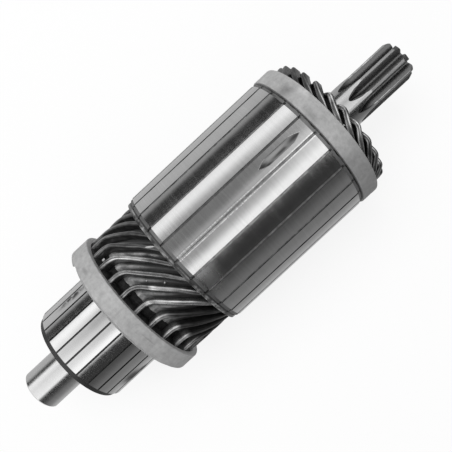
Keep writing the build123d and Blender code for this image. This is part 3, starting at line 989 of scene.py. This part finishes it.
# Resin that has filled the space between the two layers inside the noses
nose_resin_start = drive_band_end - 4.0
nose_resin_end = winding_end - 1.8
nose_resin_outline = [
    (nose_resin_start, 29.6),
    (nose_resin_start, 30.7),
    (drive_band_end + 0.5, 31.0),
    ((drive_band_end + nose_resin_end) / 2, 31.2),
    (nose_resin_end - 0.6, 31.0),
    (nose_resin_end, 30.2),
    (nose_resin_end - 0.5, 29.2),
    (drive_band_end + 0.5, 29.2),
]
ring_piece("nose_resin", nose_resin_outline, resin_steps, resin_material, nose_resin_shape)


def resin_drops():
    """Small hardened drops and runs of clear resin in the winding, coloured pale grey as painted glints."""
    drops = (
        (-46.9, -46.2, 32.6, 0.9, 0.7), (-31.9, 4.3, 32.8, 0.5, 0.4),
        (-37.1, -6.0, 32.4, 0.45, 0.4), (-26.2, -21.6, 35.2, 1.9, 0.6),
        (69.5, 13.0, 33.2, 0.6, 0.9), (68.8, 9.0, 33.2, 0.5, 0.6),
    )
    across, rows = 10, 6
    points, faces = [], []
    for x, angle, radius, half_x, half_around in drops:
        base = len(points)
        slant = 0.75 if half_x > 1.5 else 0.0
        for row in range(1, rows):
            rise = math.pi * row / rows
            for step in range(across):
                way = 2 * math.pi * step / across
                u, v = math.cos(way) * math.sin(rise) * half_x, math.sin(way) * math.sin(rise) * half_around
                turned = angle + math.degrees((v + slant * u) / radius)
                points.append(place(x + u, turned, radius + 0.5 * math.cos(rise)))
        points.append(place(x, angle, radius + 0.5))
        points.append(place(x, angle, radius - 0.5))
        top, bottom = len(points) - 2, len(points) - 1
        for row in range(rows - 2):
            for step in range(across):
                i, j = base + row * across + step, base + row * across + (step + 1) % across
                faces.append((i, j, j + across, i + across))
        low = base + (rows - 2) * across
        for step in range(across):
            faces.append((base + (step + 1) % across, base + step, top))
            faces.append((low + step, low + (step + 1) % across, bottom))
    # the pale grey of the drops is a painted glint
    finish = dull_finish("resin_drop_glint_finish", 0.42, 0.10, 0.2, 1.0, 0.03, 0.8)
    make_piece("resin_drops", points, faces, finish)


resin_drops()


# How pale the varnish is in a few slots, beside 1 in the others
slot_dust = {24: 0.45, 0: 1.3, 1: 1.7}


def slot_varnish():
    """Varnish and grinding dust that stand in the mouth of each slot, a little below the core's face."""
    half = math.degrees((slot_half_width - 0.04) / core_radius)
    bottom = core_radius - 1.1
    points, faces, dust = [], [], []
    for slot in range(coil_count):
        base = len(points)
        spans = 60
        for span in range(spans + 1):
            x = core_start + 0.1 + (core_end - core_start - 0.2) * span / spans
            top = core_radius - 0.35 - 0.2 * noise.noise(Vector((x * 0.15, slot * 5.0, 2.0)))
            for side, radius in ((-1, top), (0, top - 0.05), (1, top), (1, bottom), (-1, bottom)):
                points.append(place(x, slot_turn + slot_pitch * slot + side * half, radius))
                dust.append(slot_dust.get(slot, 1.0))
        faces += sides(base, spans + 1, 5) + caps(base, spans + 1, 5)
    f = Finish("slot_varnish_finish")
    cloud = f.noise(0.4, 0.4, 4.0, 0.6, seed=1.0)
    fine = f.noise(2.5, 2.5, 3.0, 0.6, seed=5.0)
    level = f.attribute("dust")
    value = f.times(f.spread(cloud, 0.07, 0.16), f.spread(fine, 0.75, 1.25))
    material = f.finished(f.times(value, level), f.spread(cloud, 0.45, 0.6), f.bump(fine, 0.05))
    piece = make_piece("slot_varnish", points, faces, material, 40)
    give_levels(piece, "dust", dust)


slot_varnish()


def slot_burr():
    """Lips of smeared steel along one slot, dragged over it by the grinding wheel."""
    lip_top, lip_under = core_radius + 0.02, core_radius - 0.10
    half_opening = math.degrees(slot_half_width / core_radius)
    burr_length = 52.0
    step = 0.35
    points, faces = [], []
    for side in (-1, 1):
        x = core_start + 0.1
        rows = 0
        base = len(points)
        while x < core_start + burr_length:
            fade = max(0.0, 1.0 - (x - core_start) / burr_length)
            wave = noise.noise(Vector((x * 0.9, side * 7.0, 0.0)))
            wave += 0.6 * noise.noise(Vector((x * 2.7, side * 9.0, 3.0)))
            reach = max(0.04, min(0.98, 0.35 + 0.55 * fade + 0.55 * wave) * (0.35 + 0.65 * fade))
            edge = slot_turn + side * half_opening * (1 - reach)
            root = slot_turn + side * half_opening * 1.35
            corners = ((root, lip_top), (edge, lip_top + 0.03 * wave), (edge, lip_under), (root, lip_under))
            points += [place(x, angle, radius) for angle, radius in corners]
            rows += 1
            x += step
        faces += [face[::side] for face in sides(base, rows, 4)] + caps(base, rows, 4)
    f, value, rough, normal = metal_finish("burr_finish", 0.42, 0.38, 0.02, 0.2, 0.3)
    material = f.finished(value, rough, normal, Metallic=1.0)
    make_piece("slot_burr", points, faces, material, 40)


slot_burr()


# Floor and light
floor_z = cad_box[0].z / MM
floor_half = 6.0
floor_white = 0.84


def seen_ray(tree):
    """1 for what the camera sees directly, in metal or through glass, and 0 for light on the object."""
    path = tree.node("LightPath").outputs
    most = tree.math("MAXIMUM", path["Is Camera Ray"], path["Is Glossy Ray"])
    return tree.math("MAXIMUM", most, path["Is Transmission Ray"])


floor_finish = Finish("floor_finish")
tone = floor_finish.spread(floor_finish.noise(0.004, 0.004, 2.0), 0.78, 0.82)
diffuse = floor_finish.node("BsdfDiffuse", {"Color": floor_finish.grey(tone)})
glow = floor_finish.node("Emission", {"Color": (1, 1, 1, 1), "Strength": 1.0})
share = floor_finish.times(seen_ray(floor_finish), floor_white)
blend = floor_finish.node("MixShader", {0: share, 1: diffuse.outputs[0], 2: glow.outputs[0]})
floor_finish.join(blend.outputs[0], floor_finish.output.inputs["Surface"])
floor_corners = ((-1, -1), (1, -1), (1, 1), (-1, 1))
floor_points = [Vector((x * floor_half, y * floor_half, floor_z * MM)) for x, y in floor_corners]
make_mesh("floor", floor_points, [(0, 1, 2, 3)], floor_finish.material)

# World: plain pale light, and white where it is seen
world_level = 0.62
world = bpy.data.worlds.new("studio")
bpy.context.scene.world = world
world.use_nodes = True
background = world.node_tree.nodes["Background"]
background.inputs["Color"].default_value = (1, 1, 1, 1)
world_nodes = Nodes(world.node_tree)
strength = world_nodes.spread(seen_ray(world_nodes), world_level, 1.0, 0.0, 1.0)
world_nodes.join(strength, background.inputs["Strength"])

# Key lamp: one large soft panel above, to the upper left of the picture
key_data = bpy.data.lights.new("key_panel", "AREA")
key_data.shape = "SQUARE"
key_data.size = 0.7
key_data.energy = 9.0
key = bpy.data.objects.new("key_panel", key_data)
key_place = Vector((-0.10, 0.45, 1.0))
key.location = key_place
key.rotation_mode = "QUATERNION"
key.rotation_quaternion = (-key_place).to_track_quat("-Z", "Y")
key.visible_glossy = False
key.visible_camera = False
bpy.context.collection.objects.link(key)

# Light tent: long softboxes with dark gaps between them, which the metal mirrors. Angles go
# round the shaft, and the outer ones lie on the floor beside the part.
tent_radius = 1.0
tent_half_length = 3.0
tent_edge = 150.0
tent_step = 1.5
sheet_lift = 0.0004
tent_lights = (
    (-165, 0.62), (-120, 0.60), (-98, 0.62), (-91, 0.50),
    (-86.5, 0.32), (-83, 0.11), (-80.5, 0.05), (-66, 0.04),
    (-64, 0.15), (-62, 0.90), (-60, 1.35), (-50, 1.40),
    (-46, 1.30), (12, 1.32), (18, 1.46), (26, 1.46),
    (28.5, 1.0), (30.5, 0.16), (32, 0.05), (53, 0.045),
    (58, 0.09), (66, 0.11), (74, 0.17), (84, 0.23),
    (96, 0.25), (106, 0.34), (118, 0.52), (165, 0.65),
)
# the softboxes end some way past the part
full_reach = 0.8
dark_reach = 1.4
end_level = 0.12
# dim hoods around the camera, between the two softboxes: angle, place along, half sizes, level
hoods = ((-25.0, -0.05, 28.0, 0.60, 0.25), (2.0, -0.10, 18.0, 0.50, 0.48))


def tent_brightness(angle, along):
    """Brightness of the tent's inside at an angle about the shaft and a place along it."""
    for (a0, b0), (a1, b1) in zip(tent_lights, tent_lights[1:]):
        if a0 <= angle <= a1:
            level = b0 + (b1 - b0) * (angle - a0) / (a1 - a0)
            break
    for *oval, dim in hoods:
        away = from_middle(angle, along, *oval)
        share = held(1.0 - max(0.0, away - 0.25) / 0.85)
        share = share * share * (3 - 2 * share)
        level += (min(level, dim) - level) * share
    past = held((abs(along) - full_reach) / (dark_reach - full_reach))
    return level + (min(level, end_level) - level) * past


def build_tent():
    finish = Finish("tent_finish")
    glow = finish.node("Attribute", attribute_name="glow")
    emission = finish.node("Emission", {"Color": glow.outputs["Color"], "Strength": 1.0})
    finish.join(emission.outputs[0], finish.output.inputs["Surface"])
    rows = [tent_step * step - tent_edge for step in range(int(2 * tent_edge / tent_step) + 1)]
    middle = [i * 0.1 for i in range(-6, 7)]
    columns = [-tent_half_length, -1.4, -1.1, -0.8] + middle + [0.8, 1.1, 1.4, tent_half_length]
    # the last column on each side is drawn in to the shaft, which closes the tent's ends
    columns = [(columns[0], 0.0)] + [(along, 1.0) for along in columns] + [(columns[-1], 0.0)]
    points, levels = [], []
    sheet_z = floor_z * MM + sheet_lift
    for angle in rows:
        ray = outward(angle)
        reach = tent_radius
        if ray.z < 0:
            reach = min(tent_radius, sheet_z / ray.z)
        for along, share in columns:
            points.append(Vector((along, 0, 0)) + ray * reach * share)
            levels.append(tent_brightness(angle, along))
    wide = len(columns)
    faces = []
    for r in range(len(rows) - 1):
        for c in range(wide - 1):
            p = r * wide + c
            faces.append((p, p + 1, p + wide + 1, p + wide))
    tent = make_mesh("light_tent", points, faces, finish.material)
    glow_layer = tent.data.color_attributes.new("glow", "FLOAT_COLOR", "POINT")
    for item, level in zip(glow_layer.data, levels):
        item.color = (level, level, level, 1.0)
    # only what mirrors sees the tent
    tent.visible_camera = False
    tent.visible_diffuse = False
    tent.visible_shadow = False
    tent.visible_transmission = False
    tent.visible_volume_scatter = False


build_tent()
